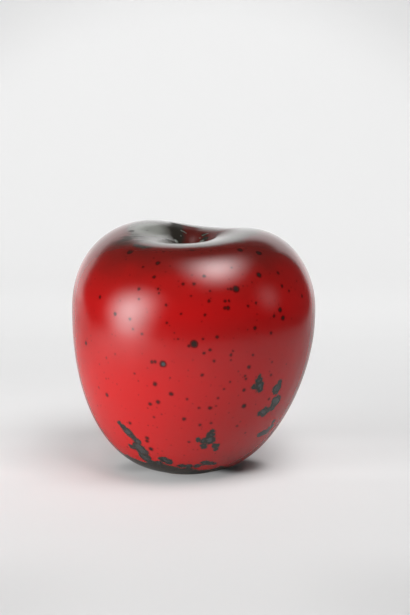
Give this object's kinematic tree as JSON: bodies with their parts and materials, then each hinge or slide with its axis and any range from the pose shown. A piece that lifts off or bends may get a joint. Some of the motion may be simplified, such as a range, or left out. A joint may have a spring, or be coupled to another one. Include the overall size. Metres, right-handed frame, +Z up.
{
  "type": "ceramic apple sculpture",
  "caption": "Hollow stoneware apple about twice life size, with a leaning shoulder, a funnel-shaped stem hollow, a small foot ring and a speckled satin red glaze.",
  "frame": {"origin": "on the surface that the apple stands on, straight below the middle of its belly", "axes": "+Z up, out of the stem hollow; the foot is offset towards -X; the picture looks along +Y, with +X to the right"},
  "size_m": [0.16, 0.16, 0.1623],
  "materials": {
    "fired_clay": "matte",
    "luting_clay": "matte",
    "foot_clay": "matte",
    "red_glaze": "satin"
  },
  "bodies": {
    "root": {"lower_bowl": "fired_clay", "upper_bowl": "fired_clay", "seam_coil": "luting_clay", "foot_ring": "foot_clay", "glaze_coat": "red_glaze"}
  },
  "joints": []
}
